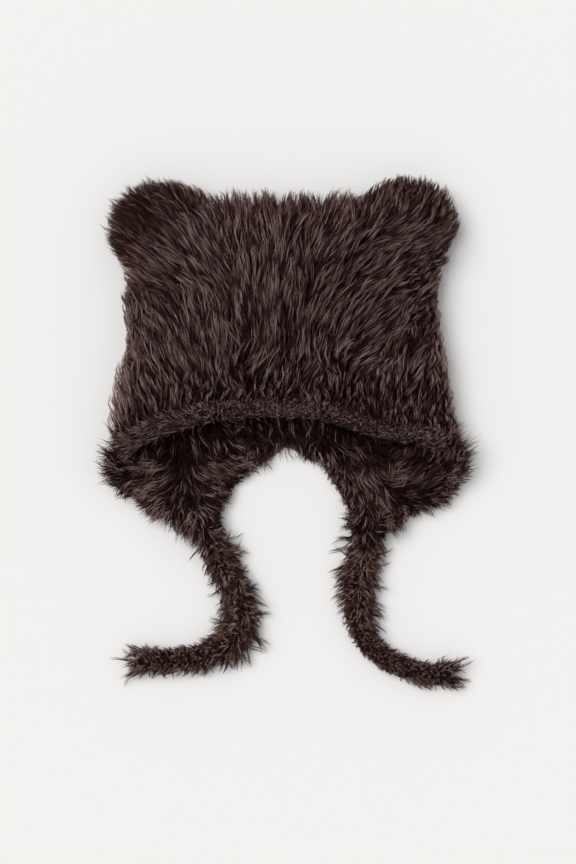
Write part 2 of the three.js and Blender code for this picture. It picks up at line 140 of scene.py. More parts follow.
# Places on the front and the ears
FRONT_FLOW = [
    Flow(-139, 100, -72, 13),
    Flow(-122, 123, -52, 20),
    Flow(-108, 130, -42, 18),
    Flow(-80, 127, -28, 15),
    Flow(-115, 92, -58, 21),
    Flow(-84, 100, -50, 22),
    Flow(-131, 72, -62, 17),
    Flow(-125, 49, -66, 9),
    Flow(-69, 69, -48, 25),
    Flow(-92, 53, -55, 24),
    Flow(-49, 55, -36, 24),
    Flow(-57, 92, -32, 22),
    Flow(-66, 112, -18, 15),
    Flow(-37, 111, -8, 19),
    Flow(-30, 84, -5, 23),
    Flow(-26, 46, 4, 24),
    Flow(9, 111, 0, 20),
    Flow(48, 113, 10, 21),
    Flow(66, 112, 20, 15),
    Flow(9, 69, 12, 24),
    Flow(2, 22, 9, 25),
    Flow(33, 78, 40, 23),
    Flow(66, 88, 50, 23),
    Flow(64, 26, 50, 24),
    Flow(62, 56, 56, 24),
    Flow(96, 47, 56, 14),
    Flow(99, 88, 60, 22),
    Flow(78, 126, 22, 15),
    Flow(97, 132, 4, 14),
    Flow(119, 118, 22, 15),
    Flow(122, 98, 34, 15),
    Flow(120, 80, 20, 4),
    Flow(114, 71, 62, 17),
    Flow(112, 60, 50, 9),
    Flow(114, 42, 6, 6),
    Flow(114, 22, 2, 8),
    Flow(121, -14, -10, 11),
    Flow(52, -2, 60, 20),
    Flow(36, 10, 26, 22),
    Flow(90, -18, 24, 20),
    Flow(68, -28, 12, 17),
    Flow(34, -18, -16, 13),
    Flow(10, -22, 16, 19),
    Flow(-24, -18, 20, 20),
    Flow(-36, 12, -20, 22),
    Flow(-22, 0, 6, 22),
    Flow(-68, -12, -14, 24),
    Flow(-104, -8, -10, 24),
    Flow(-124, 4, 0, 9),
    Flow(-108, 26, -8, 22),
    Flow(-60, 22, -6, 22),
    Flow(-130, -46, -12, 19),
    Flow(-96, -40, -4, 18),
    Flow(124, -50, -4, 6),
    Flow(-62, -36, -2, 11),
    Flow(-22, -31, 10, 9),
    Flow(20, -33, 4, 9),
    Flow(50, -41, 2, 9),
    Flow(82, -50, 10, 10),
    Flow(106, -52, 8, 15),
]

# Places on the earflaps and inside the neck edge
LOW_FLOW = [
    Flow(-141, -74, -56, 27),
    Flow(-142, -87, -84, 20),
    Flow(-137, -101, -110, 15),
    Flow(-119, -111, -118, 8),
    Flow(-100, -122, -125, 16),
    Flow(-80, -134, -145, 18),
    Flow(-70, -146, -160, 15),
    Flow(-118, -86, -98, 17),
    Flow(-98, -98, -140, 18),
    Flow(-100, -74, -150, 17),
    Flow(-78, -72, 150, 17),
    Flow(-65, -86, 118, 18),
    Flow(-38, -84, 118, 11),
    Flow(-48, -100, 108, 7),
    Flow(-55, -115, 116, 5),
    Flow(-57, -128, 96, 6),
    Flow(-69, -111, 128, 18),
    Flow(-76, -126, 168, 16),
    Flow(-30, -66, 120, 12),
    Flow(-14, -68, 160, 17),
    Flow(0, -62, 180, 18),
    Flow(15, -68, -164, 14),
    Flow(28, -86, -140, 6),
    Flow(38, -99, -140, 5),
    Flow(47, -113, -130, 6),
    Flow(48, -128, -110, 12),
    Flow(55, -87, 150, 22),
    Flow(44, -73, 130, 20),
    Flow(64, -107, 160, 18),
    Flow(83, -94, 62, 20),
    Flow(103, -103, 60, 20),
    Flow(118, -87, 50, 17),
    Flow(87, -76, 40, 15),
    Flow(138, -76, 42, 24),
    Flow(142, -86, 60, 20),
    Flow(134, -99, 110, 7),
    Flow(116, -107, 138, 12),
    Flow(95, -118, 150, 6),
    Flow(80, -130, 155, 13),
    Flow(65, -142, 140, 15),
]

# Painted shade in the fur's creases and hollows and under the band, and painted light on the thin fur at
# its outline where light comes through it; a few rows only make a patch darker or lighter. Each has its
# size and the share that its tone changes by
PaintedLightAndShade = namedtuple("PaintedLightAndShade", "x y radius_x radius_y change")
PAINTED_LIGHT_AND_SHADE = [
    PaintedLightAndShade(-138, 92, 9, 34, 1.4),
    PaintedLightAndShade(-108, 134, 40, 8, 0.7),
    PaintedLightAndShade(-142, -84, 12, 14, 0.9),
    PaintedLightAndShade(140, -78, 12, 14, 0.7),
    PaintedLightAndShade(-97, 42, 26, 8, -0.6),
    PaintedLightAndShade(98, -108, 26, 14, -0.22),
    PaintedLightAndShade(90, 3, 16, 9, -0.55),
    PaintedLightAndShade(-106, 100, 28, 26, -0.62),
    PaintedLightAndShade(0, -24, 90, 10, -0.15),
    PaintedLightAndShade(50, -2, 18, 8, 0.25),
    PaintedLightAndShade(-69, 70, 20, 14, 0.3),
    PaintedLightAndShade(64, -42, 24, 9, -0.4),
    PaintedLightAndShade(-131, -38, 8, 34, 1.2),
    PaintedLightAndShade(-123, 20, 8, 34, 1.2),
    PaintedLightAndShade(129, -40, 7, 34, 1.6),
    PaintedLightAndShade(116, 28, 6, 40, 2.0),
    PaintedLightAndShade(0, -54, 70, 6, -0.65),
    PaintedLightAndShade(-80, -70, 20, 9, -0.85),
    PaintedLightAndShade(66, -72, 22, 9, -0.85),
    PaintedLightAndShade(97, -86, 12, 8, -0.7),
    PaintedLightAndShade(38, -98, 8, 16, 0.7),
    PaintedLightAndShade(20, -74, 10, 8, 0.6),
    PaintedLightAndShade(-34, -78, 10, 10, 0.4),
    PaintedLightAndShade(-108, -116, 24, 7, 0.3),
]

# Fur: it grows in bunches of strands that come together towards their tips. A coat has the number
# of strands in each bunch, their spread at the roots, their reach in shares of the flow's length,
# their lift off the cloth, the share of the spread that their tips are pulled back by, their turn in
# degrees, wave and width, their stops from root to tip, and how stiffly they keep to the combed
# direction where the cloth slopes. The tone rises by up to the contrast in the bunches that rise
# highest, in fewer bunches the higher sparse is: partly tone that differs at random, partly painted
# light on the top of the fur and painted shade lower in it. It rises by the fleck in single strands.
UNDERCOAT = {
    "name": "undercoat", "each": 4, "spread": 1.8, "reach": 0.75, "lift": 5.0, "pull": 0.6,
    "turn": 12, "wave": 0.8, "width": 0.75, "stops": 3, "stiffness": 0.5, "tone": 0.12,
    "contrast": 0.2, "sparse": 2, "fleck": 0.08,
}
TUFTS = {
    "name": "tufts", "each": 5, "spread": 1.0, "reach": 1.1, "lift": 9.0, "pull": 0.95,
    "turn": 11, "wave": 1.5, "width": 0.5, "stops": 4, "stiffness": 0.5, "tone": 0.13,
    "contrast": 0.75, "sparse": 2, "fleck": 0.35,
}
COATS = {
    "front": [
        {**UNDERCOAT, "bunches": 1800},
        {**TUFTS, "bunches": 2520},
    ],
    "ear": [
        {**UNDERCOAT, "bunches": 800, "lift": 4.0, "stiffness": 0.8},
        {**TUFTS, "bunches": 640, "lift": 7.0, "stiffness": 0.85, "pull": 1.1, "tone": 0.04},
    ],
    # The rim's tone is raised: painted light on the thin fur at the outline, where light comes through it
    "rim": [
        {
            **TUFTS, "bunches": 2000, "each": 3, "spread": 0.9, "reach": 0.45, "lift": 2.5,
            "width": 0.65, "stops": 3, "stiffness": 0.7, "tone": 0.3,
        },
    ],
    "neck": [
        {**UNDERCOAT, "bunches": 900, "turn": 20, "tone": 0.0},
        {
            **TUFTS, "bunches": 480, "lift": 6.0, "turn": 26, "wave": 1.6, "tone": 0.05,
            "contrast": 1.2, "sparse": 4, "fleck": 0.5,
        },
    ],
    "flap": [
        {**UNDERCOAT, "bunches": 1100, "turn": 20, "tone": 0.0},
        {
            **TUFTS, "bunches": 820, "lift": 7.0, "turn": 27, "wave": 1.8, "tone": -0.12,
            "contrast": 1.1, "sparse": 4, "fleck": 0.42,
        },
    ],
    # The edges' tone is raised: painted light on the thin fur hanging from the cut edges, where light
    # comes through it
    "edge": [
        {
            **TUFTS, "name": "edge", "bunches": 195, "each": 4, "spread": 0.8, "reach": 0.45,
            "lift": 1.5, "turn": 20, "stiffness": 0.8, "tone": 0.4,
        },
    ],
    "tie": [
        {
            **UNDERCOAT, "bunches": 1500, "each": 3, "spread": 0.5, "reach": 0.6, "lift": 2.6,
            "turn": 22, "width": 0.55, "stiffness": 0.6, "tone": 0.06, "contrast": 1.0, "fleck": 0.4,
        },
        {
            **TUFTS, "bunches": 360, "spread": 0.85, "reach": 1.05, "lift": 2.9, "turn": 20,
            "stiffness": 0.7, "tone": 0.09, "fleck": 0.36,
        },
    ],
    "band": [
        {
            **UNDERCOAT, "name": "fuzz", "bunches": 6400, "each": 2, "spread": 0.3, "reach": 1.0,
            "lift": 4.0, "turn": 20, "wave": 0.5, "width": 0.58, "stiffness": 0.2, "tone": 0.2,
            "contrast": 0.75, "fleck": 0.42,
        },
    ],
}
LOCK_SPACING = 15.0
RIM_FUR_LENGTH = 18.0

# Columns and rows of the grids that fur is scattered on
FINE_CAP_GRID = {"columns": 120, "rows": 90}
FINE_EAR_GRID = {"columns": 96, "rows": 48}

# How a strand lies: its turn by its lock, its bunch and on its own, in shares of its coat's turn
LOCK_TURN = 0.9
BUNCH_TURN = 0.45
STRAND_TURN = 0.2
BUNCH_LENGTHS = (0.8, 1.2)
STRAND_LENGTHS = (0.85, 1.05)
STRAND_WAVES = (0.7, 1.3)
STRAND_PULLS = (0.7, 1.0)
PULL_POWER = 0.8
WAVE_TURN = 6.0
TONE_SPREAD = 0.05
TONE_LIMITS = (0.02, 0.98)

# How high it rises, in shares of its coat's lift. Fur rises less where it is short.
SHORT_FUR_LIFT = 0.4
LIFT_LENGTH = 30.0
LEAST_RISE = 0.15
BUNCH_RISE = 0.7
STRAND_RISE = 0.25
RISE_ALONG = {"station": [0, 0.3, 0.7, 1], "height": [-0.1, 0.75, 1.0, 0.65]}

# How far it keeps off the cloth and the table below it, and how far that may raise it
CLOTH_CLEARANCE = 0.5
CLEARANCE_BY_RISE = 0.3
MOST_CLIMB = 4
TABLE_CLEARANCE = 0.6

# Its width at the second ring, as a share of that at the first
TAPER = 0.8

# Its dark root, partly the fur's own darker base and partly painted shade deep in the fur, gives way to
# its own tone between these shares of the way to its tip
ROOT_FADE = (0.05, 0.65)
# Strands that end over the cloth stop at this V, and only those that end past it go on to 1
V_OVER_CLOTH = 0.6
# Light comes through the ends of the fur past the cloth, and makes them warmer, fully from this V on
V_FRINGE = 0.9
FRINGE_TINT = (1.32, 1.03, 0.82, 1.0)


# Scene: camera, light and floor

def new_object(name, data):
    obj = bpy.data.objects.new(name, data)
    bpy.context.scene.collection.objects.link(obj)
    return obj


def add_camera():
    """Straight above, as far to the front of the cap's middle as the ties shift the picture."""
    pixel = 0.78
    picture_rows = 864
    sensor = 36.0
    away = 1600.0
    half_height = 20.0
    middle_y = -57.7
    camera = bpy.data.cameras.new("camera")
    camera.lens = sensor * away / (picture_rows * pixel)
    camera.clip_end = 20.0
    obj = new_object("camera", camera)
    obj.location = (0.0, middle_y * MM, (away + half_height) * MM)
    bpy.context.scene.camera = obj


def add_key_light():
    """Soft, even light from the left and a little from the ears' side."""
    light = bpy.data.lights.new("key", "SUN")
    light.energy = 2.1
    light.angle = math.radians(45)
    light.color = (1.0, 0.99, 0.98)
    key = new_object("key", light)
    towards = Vector((0.52, -0.3, -1.0))
    key.rotation_euler = towards.to_track_quat("-Z", "Y").to_euler()


def add_surroundings():
    """Even light from all around, and the key light."""
    world = bpy.data.worlds.new("studio")
    world.use_nodes = True
    background = world.node_tree.nodes["Background"]
    set_inputs(background, {"Color": (1.0, 0.99, 0.98, 1.0), "Strength": 0.49})
    bpy.context.scene.world = world
    bpy.context.scene.view_settings.view_transform = "Standard"
    bpy.context.scene.view_settings.look = "None"
    add_key_light()


def add_floor():
    """A wide sheet of pale paper."""
    half = 10000.0 * MM
    mesh = bpy.data.meshes.new("floor")
    corners = [(-half, -half, 0), (half, -half, 0), (half, half, 0), (-half, half, 0)]
    mesh.from_pydata(corners, [], [(0, 1, 2, 3)])
    floor = new_object("floor", mesh)
    material = bpy.data.materials.new("floor_paper")
    material.use_nodes = True
    shader = material.node_tree.nodes["Principled BSDF"]
    set_inputs(shader, {"Base Color": (0.845, 0.84, 0.834, 1.0), "Roughness": 0.9})
    mesh.materials.append(material)


# Materials

def set_inputs(node, values):
    for name, value in values.items():
        node.inputs[name].default_value = value


def linear(red, green, blue):
    """A shader colour from sRGB parts of 0 to 255."""
    def part(value):
        share = value / 255
        return share / 12.92 if share <= 0.04045 else ((share + 0.055) / 1.055) ** 2.4
    return (part(red), part(green), part(blue), 1.0)


def fibre_material(name, roughness, specular):
    """A material with a dull, warm sheen, and its nodes, links and shader."""
    material = bpy.data.materials.new(name)
    material.use_nodes = True
    nodes = material.node_tree.nodes
    shader = nodes["Principled BSDF"]
    set_inputs(shader, {
        "Roughness": roughness, "Specular IOR Level": specular,
        "Specular Tint": (1.0, 0.8, 0.72, 1.0),
    })
    return material, nodes, material.node_tree.links, shader


def fur_material(name, root, dark, middle, light, roughness):
    """Colour by tone in U; in V darker at the root, partly painted shade, and warmer at a fringe's end:
    painted light.
    """
    material, nodes, links, shader = fibre_material(name, roughness, specular=0.1)
    strand = nodes.new("ShaderNodeUVMap")
    strand.uv_map = "OFBake"
    split = nodes.new("ShaderNodeSeparateXYZ")
    tone = nodes.new("ShaderNodeValToRGB")
    tone.color_ramp.elements[0].color = dark
    tone.color_ramp.elements[1].color = light
    tone.color_ramp.elements.new(0.5).color = middle
    along = nodes.new("ShaderNodeMapRange")
    along.interpolation_type = "SMOOTHSTEP"
    first, last = ROOT_FADE
    set_inputs(along, {"From Min": first * V_OVER_CLOTH, "From Max": last * V_OVER_CLOTH})
    fringe = nodes.new("ShaderNodeMapRange")
    set_inputs(fringe, {"From Min": V_OVER_CLOTH, "From Max": V_FRINGE})
    warm = nodes.new("ShaderNodeMix")
    warm.data_type = "RGBA"
    warm.blend_type = "MULTIPLY"
    set_inputs(warm, {"B": FRINGE_TINT})
    mix = nodes.new("ShaderNodeMix")
    mix.data_type = "RGBA"
    # The root colour: partly the fur's darker base, partly painted shade deep in the fur
    set_inputs(mix, {"A": root})
    links.new(strand.outputs["UV"], split.inputs["Vector"])
    links.new(split.outputs["X"], tone.inputs["Fac"])
    links.new(split.outputs["Y"], along.inputs["Value"])
    links.new(along.outputs["Result"], mix.inputs["Factor"])
    links.new(tone.outputs["Color"], mix.inputs["B"])
    links.new(split.outputs["Y"], fringe.inputs["Value"])
    links.new(fringe.outputs["Result"], warm.inputs["Factor"])
    links.new(mix.outputs["Result"], warm.inputs["A"])
    links.new(warm.outputs["Result"], shader.inputs["Base Color"])
    return material


def knit_material(name, low, high, scale):
    """Matt knitted cloth: rows of loops in the bump, uneven in colour."""
    material, nodes, links, shader = fibre_material(name, roughness=0.9, specular=0.12)
    position = nodes.new("ShaderNodeTexCoord")
    noise = nodes.new("ShaderNodeTexNoise")
    set_inputs(noise, {"Scale": scale, "Detail": 4.0})
    ramp = nodes.new("ShaderNodeValToRGB")
    ramp.color_ramp.elements[0].position = 0.35
    ramp.color_ramp.elements[0].color = low
    ramp.color_ramp.elements[1].position = 0.7
    ramp.color_ramp.elements[1].color = high
    wave = nodes.new("ShaderNodeTexWave")
    set_inputs(wave, {"Scale": scale, "Distortion": 3.0})
    bump = nodes.new("ShaderNodeBump")
    set_inputs(bump, {"Strength": 0.6, "Distance": 1.0 * MM})
    links.new(position.outputs["Object"], noise.inputs["Vector"])
    links.new(position.outputs["Object"], wave.inputs["Vector"])
    links.new(noise.outputs["Fac"], ramp.inputs["Fac"])
    links.new(ramp.outputs["Color"], shader.inputs["Base Color"])
    links.new(wave.outputs["Fac"], bump.inputs["Height"])
    links.new(bump.outputs["Normal"], shader.inputs["Normal"])
    return material


# Meshes

def add_object(name, mesh, material):
    mesh.materials.append(material)
    return new_object(name, mesh)


def quad_object(name, points, faces, material):
    mesh = bpy.data.meshes.new(name)
    mesh.from_pydata((points * MM).tolist(), [], faces)
    mesh.polygons.foreach_set("use_smooth", np.ones(len(mesh.polygons), dtype=bool))
    return add_object(name, mesh, material)


def triangle_object(name, points, triangles, uvs, material):
    """A large mesh of triangles, with one UV for each point."""
    mesh = bpy.data.meshes.new(name)
    mesh.vertices.add(len(points))
    mesh.vertices.foreach_set("co", (points * MM).astype(np.float32).ravel())
    mesh.loops.add(triangles.size)
    mesh.loops.foreach_set("vertex_index", triangles.astype(np.int32).ravel())
    mesh.polygons.add(len(triangles))
    mesh.polygons.foreach_set("loop_start", np.arange(0, triangles.size, 3, dtype=np.int32))
    mesh.polygons.foreach_set("use_smooth", np.ones(len(triangles), dtype=bool))
    layer = mesh.uv_layers.new(name="OFBake")
    layer.data.foreach_set("uv", uvs[triangles.ravel()].astype(np.float32).ravel())
    mesh.update(calc_edges=True)
    return add_object(name, mesh, material)


def grid_faces(rows, columns, start=0, flip=False):
    """Quads of a grid of points stored row by row."""
    faces = []
    for row in range(rows - 1):
        for column in range(columns - 1):
            a = start + row * columns + column
            quad = (a, a + 1, a + columns + 1, a + columns)
            faces.append(quad[::-1] if flip else quad)
    return faces


def shell(name, upper, lower, material):
    """A closed wall between two grids of points of the same size."""
    rows, columns = upper.shape[:2]
    size = rows * columns
    faces = grid_faces(rows, columns) + grid_faces(rows, columns, size, flip=True)
    border = [(0, c) for c in range(columns)]
    border += [(r, columns - 1) for r in range(1, rows)]
    border += [(rows - 1, c) for c in range(columns - 2, -1, -1)]
    border += [(r, 0) for r in range(rows - 2, 0, -1)]
    ring = [r * columns + c for r, c in border]
    for here, after in zip(ring, ring[1:] + ring[:1]):
        faces.append((here, here + size, after + size, after))
    points = np.concatenate([upper.reshape(-1, 3), lower.reshape(-1, 3)])
    return quad_object(name, points, faces, material)


def unit(vectors):
    return vectors / np.maximum(np.linalg.norm(vectors, axis=-1, keepdims=True), 1e-9)


def across_and_up(tangents):
    """Level unit vectors across each tangent, and upward ones at right angles to both."""
    across = unit(np.cross(tangents, (0.0, 0.0, 1.0)))
    return across, np.cross(across, tangents)


def tube_grid(path, radii_up, radii_across, sides, relief):
    """Rings of points round a path, as a grid whose first and last columns meet.

    relief gives the swelling of each ring and turn, as a share of the radius.
    """
    tangents = unit(np.gradient(path, axis=0))
    across, up = across_and_up(tangents)
    turns = np.linspace(0, 2 * math.pi, sides + 1)
    swell = 1 + relief(np.arange(len(path))[:, None], turns[None, :])
    offset_up = (radii_up[:, None] * np.cos(turns) * swell)[..., None] * up[:, None]
    offset_across = (radii_across[:, None] * np.sin(turns) * swell)[..., None] * across[:, None]
    return path[:, None] + offset_up + offset_across


def tube(name, grid, material):
    """A closed tube from rings of points, with its seam joined and its ends filled."""
    rings, around = grid.shape[0], grid.shape[1] - 1
    points = grid[:, :-1].reshape(-1, 3)
    faces = []
    for ring in range(rings - 1):
        for side in range(around):
            after = (side + 1) % around
            a, b = ring * around + side, ring * around + after
            faces.append((a, a + around, b + around, b))
    faces.append(tuple(range(around)))
    faces.append(tuple(reversed(range((rings - 1) * around, rings * around))))
    return quad_object(name, points, faces, material)


def spline(places, height, count):
    """Evenly spaced points on a centripetal Catmull-Rom curve through places."""
    steps = 24
    points = np.column_stack([np.array(places, dtype=float), np.broadcast_to(height, len(places))])
    ends = [2 * points[0] - points[1], 2 * points[-1] - points[-2]]
    knots = np.vstack([ends[0], points, ends[1]])
    spans = np.linalg.norm(np.diff(knots, axis=0), axis=1) ** 0.5
    times = np.concatenate([[0], np.cumsum(spans)])
    curve = []
    for i in range(1, len(knots) - 2):
        here = np.linspace(times[i], times[i + 1], steps, endpoint=False)[:, None]
        t0, t1, t2, t3 = times[i - 1:i + 3]
        p0, p1, p2, p3 = knots[i - 1:i + 3]
        a1 = (t1 - here) / (t1 - t0) * p0 + (here - t0) / (t1 - t0) * p1
        a2 = (t2 - here) / (t2 - t1) * p1 + (here - t1) / (t2 - t1) * p2
        a3 = (t3 - here) / (t3 - t2) * p2 + (here - t2) / (t3 - t2) * p3
        b1 = (t2 - here) / (t2 - t0) * a1 + (here - t0) / (t2 - t0) * a2
        b2 = (t3 - here) / (t3 - t1) * a2 + (here - t1) / (t3 - t1) * a3
        curve.append((t2 - here) / (t2 - t1) * b1 + (here - t1) / (t2 - t1) * b2)
    curve = np.vstack(curve + [points[-1:]])
    travelled = np.concatenate([[0], np.cumsum(np.linalg.norm(np.diff(curve, axis=0), axis=1))])
    stops = np.linspace(0, travelled[-1], count)
    return np.column_stack([np.interp(stops, travelled, curve[:, axis]) for axis in range(3)])


# Forms, as in the part's source

def quarter_round(share):
    """Height of a rounded edge, from 0 at its foot to 1 at its top."""
    return np.sqrt(1 - (1 - np.clip(share, 0, 1)) ** 2)


def dense_near_edges(share):
    crowding = 0.6
    return share + crowding * (np.sin(share * math.pi / 2) - share)


def cap_sides(y):
    """Middle and half width of the cap without its rounded corners."""
    left = np.interp(y, CAP_SIDES["y"], CAP_SIDES["left"])
    right = np.interp(y, CAP_SIDES["y"], CAP_SIDES["right"])
    return (left + right) / 2, (right - left) / 2


def cap_width(y, depth):
    """Middle and half width of the cap at a depth inside its outer face."""
    middle, half = cap_sides(y)
    into_corner = np.maximum(0, y - (CAP_TOP - CAP_CORNER))
    arc = np.sqrt(np.maximum(0, (CAP_CORNER - depth) ** 2 - into_corner ** 2))
    return middle, half - CAP_CORNER + arc


def edge_distance(x, y):
    """How far each place is inside the cap's outline."""
    middle, half = cap_sides(y)
    besides = np.abs(x - middle) - (half - CAP_CORNER)
    above = y - (CAP_TOP - CAP_CORNER)
    beyond = np.hypot(np.maximum(besides, 0), np.maximum(above, 0))
    return CAP_CORNER - beyond - np.minimum(np.maximum(besides, above), 0)


def band_line(x):
    return np.interp(x, BAND_PATH["x"], BAND_PATH["y"])


def dent_at(x, y):
    total = 0.0
    for dent in FRONT_DENTS:
        reach = ((x - dent["x"]) ** 2 + (y - dent["y"]) ** 2) / dent["radius"] ** 2
        total = total + dent["depth"] * np.exp(-reach)
    return total


def front_height(x, y, depth=0.0):
    foot = SEAM_HEIGHT + GAP / 2
    near_band = 1 - np.clip((y - band_line(x)) / BAND_REACH, 0, 1)
    rise = CROWN_HEIGHT - foot - depth - BAND_SAG * near_band ** 2 - dent_at(x, y)
    return foot + rise * quarter_round((edge_distance(x, y) - depth) / (FRONT_ROLL - depth))


def back_height(x, y, depth=0.0):
    brow = SEAM_HEIGHT - GAP / 2
    return brow - (brow - depth) * quarter_round((edge_distance(x, y) - depth) / (BACK_ROLL - depth))


def neck_line(x):
    """Lower edge of the back panel: the seam with the earflaps, and the notch at the neck."""
    share = np.minimum(1, np.abs(x) / NECK_HALF_WIDTH)
    return FLAP_SEAM + (NECK_TOP - FLAP_SEAM) * np.cos(share * math.pi / 2) ** 2


def panel_grid(depth, lower_line, height_at, columns, rows):
    """Points of a panel of the cap whose lower edge follows a line."""
    u, v = np.meshgrid(
        dense_near_edges(np.linspace(-1, 1, columns + 1)),
        dense_near_edges(np.linspace(0, 1, rows + 1)),
    )
    foot_middle, foot_half = cap_width(FLAP_SEAM, depth)
    lowest = lower_line(foot_middle + foot_half * u)
    y = lowest + (CAP_TOP - depth - lowest) * v
    middle, half = cap_width(y, depth)
    x = middle + half * u
    return np.stack([x, y, height_at(x, y, depth)], axis=-1)


def front_grid(depth, columns=60, rows=40):
    return panel_grid(depth, lambda x: band_line(x) + BAND_WIDTH / 4, front_height, columns, rows)


def back_grid(depth, columns=60, rows=40):
    return panel_grid(depth, neck_line, back_height, columns, rows)


def ear_grid(ear, columns=48, rows=24):
    """Points of a padded lobe, a little squarer than an ellipsoid."""
    around, upward = np.meshgrid(
        np.linspace(0, 2 * math.pi, columns + 1), np.linspace(-math.pi / 2, math.pi / 2, rows + 1)
    )
    def bulged(value):
        return np.sign(value) * np.abs(value) ** EAR_SQUARENESS
    level = bulged(np.cos(upward))
    x = ear["x"] + ear["radius_x"] * level * bulged(np.cos(around))
    y = ear["y"] + ear["radius_y"] * level * bulged(np.sin(around))
    z = ear["z"] + ear["radius_z"] * bulged(np.sin(upward))
    return np.stack([x, y, z], axis=-1)


def ear_height(ear, x, y):
    """Height of an ear's top, or 0 outside it."""
    power = 2 / EAR_SQUARENESS
    across = np.abs((x - ear["x"]) / ear["radius_x"]) ** power
    beyond = across + np.abs((y - ear["y"]) / ear["radius_y"]) ** power
    top = ear["z"] + ear["radius_z"] * np.maximum(0, 1 - beyond) ** (EAR_SQUARENESS / 2)
    return np.where(beyond < 1, top, 0.0)


def flap_grid(side, upper, columns=28, rows=24):
    """Points of an earflap's upper or lower face, which curls up at its outer edge near the cap."""
    curl_end = 0.6
    across, down = np.meshgrid(np.linspace(0, 1, columns + 1), np.linspace(0, 1, rows + 1))
    edges = FLAP_EDGES["left" if side < 0 else "right"]
    y = FLAP_Y[-1] + (FLAP_Y[0] - FLAP_Y[-1]) * down
    inner = np.interp(y, FLAP_Y, edges["inner"])
    outer = np.interp(y, FLAP_Y, edges["outer"])
    thickness = np.interp(y, FLAP_Y, FLAP_THICKNESS) if upper else 0.0
    from_edge = (1 - across) * (outer - inner)
    curl = np.clip(1 - from_edge / BACK_ROLL, 0, 1) ** 2
    share = np.clip(down / curl_end, 0, 1)
    fading = 1 - share ** 2 * (3 - 2 * share)
    x = side * (inner + (outer - inner) * across)
    return np.stack([x, y, FLAP_LIFT * curl * fading + thickness], axis=-1)


def cap_ground(x, y):
    """Height of the front panel and the ears, or of the table outside them."""
    inside = (edge_distance(x, y) > 0) & (y > band_line(x))
    ground = np.where(inside, front_height(x, y), 0.0)
    for ear in EARS:
        ground = np.maximum(ground, ear_height(ear, x, y))
    return ground


def low_ground(x, y):
    """Height of the back panel's inner face, or of the table outside it."""
    inside = (edge_distance(x, y) > CLOTH) & (y > neck_line(x))
    return np.where(inside, back_height(x, y, CLOTH), 0.0)


def table_ground(x, y):
    return np.zeros_like(x)


def past_cloth(x, y):
    """Whether each place is beyond the cloth of the cap, ears, earflaps and ties, as seen from above."""
    margin = 1
    low = np.flatnonzero(y < FLAP_Y[0])
    covered = (edge_distance(x, y) > 0) & (y > neck_line(x))
    for ear in EARS:
        covered |= ear_height(ear, x, y) > 0
    for side, edges in FLAP_EDGES.items():
        outwards = -x if side == "left" else x
        inner = np.interp(y, FLAP_Y, edges["inner"])
        outer = np.interp(y, FLAP_Y, edges["outer"])
        covered |= (outwards > inner) & (outwards < outer) & (y > FLAP_Y[0]) & (y < FLAP_SEAM)
        path = spline(TIES[side], TIE_CENTRE, TIE_STEPS)
        gaps = np.hypot(x[low, None] - path[:, 0], y[low, None] - path[:, 1])
        covered[low] |= gaps.min(axis=1, initial=np.inf) < TIE_DIAMETER / 2 + margin
    return ~covered


# Fur

def scatter(grid, count):
    """Evenly spread random points on a grid of points, with their outward normals."""
    a, b, c, d = grid[:-1, :-1], grid[:-1, 1:], grid[1:, 1:], grid[1:, :-1]
    corners = np.concatenate([
        np.stack([a, b, c], axis=-2).reshape(-1, 3, 3),
        np.stack([a, c, d], axis=-2).reshape(-1, 3, 3),
    ])
    cross = np.cross(corners[:, 1] - corners[:, 0], corners[:, 2] - corners[:, 0])
    area = np.linalg.norm(cross, axis=1)
    stops = (np.arange(count) + rng.random(count)) / count * area.sum()
    found = np.searchsorted(np.cumsum(area), stops).clip(0, len(area) - 1)
    s, t = rng.random(count), rng.random(count)
    fold = s + t > 1
    s[fold], t[fold] = 1 - s[fold], 1 - t[fold]
    chosen = corners[found]
    along = s[:, None] * (chosen[:, 1] - chosen[:, 0])
    beside = t[:, None] * (chosen[:, 2] - chosen[:, 0])
    return chosen[:, 0] + along + beside, unit(cross[found])


def scatter_where(grid, count, wanted, spare=8):
    """Random points on the part of a grid that is wanted, with their outward normals."""
    roots, normals = scatter(grid, spare * count)
    kept = np.flatnonzero(wanted(roots, normals))
    chosen = rng.permutation(kept)[:count]
    return roots[chosen], normals[chosen]


def scatter_on_wall(edges, count, middle):
    """Random points on the wall between two edges of a cloth, with normals away from its middle."""
    roots, normals = scatter(np.stack(edges, axis=1), count)
    return roots, normals * np.sign(dots(normals, roots - middle))


def locks_of(places):
    """For each place, the number of the lock that it grows in: a cell of an uneven net."""
    low = places.min(axis=0) - 2 * LOCK_SPACING
    cell = np.floor((places - low) / LOCK_SPACING).astype(int)
    size = cell.max(axis=0) + 3
    shift = rng.random((size[0], size[1], 2))
    nearest = np.full(len(places), np.inf)
    chosen = np.zeros(len(places), dtype=int)
    for i in (-1, 0, 1):
        for j in (-1, 0, 1):
            near = cell + (i, j)
            centre = low + (near + shift[near[:, 0], near[:, 1]]) * LOCK_SPACING
            distance = np.linalg.norm(places - centre, axis=1)
            closer = distance < nearest
            nearest[closer] = distance[closer]
            chosen[closer] = (near[:, 0] * size[1] + near[:, 1])[closer]
    return np.unique(chosen, return_inverse=True)[1]


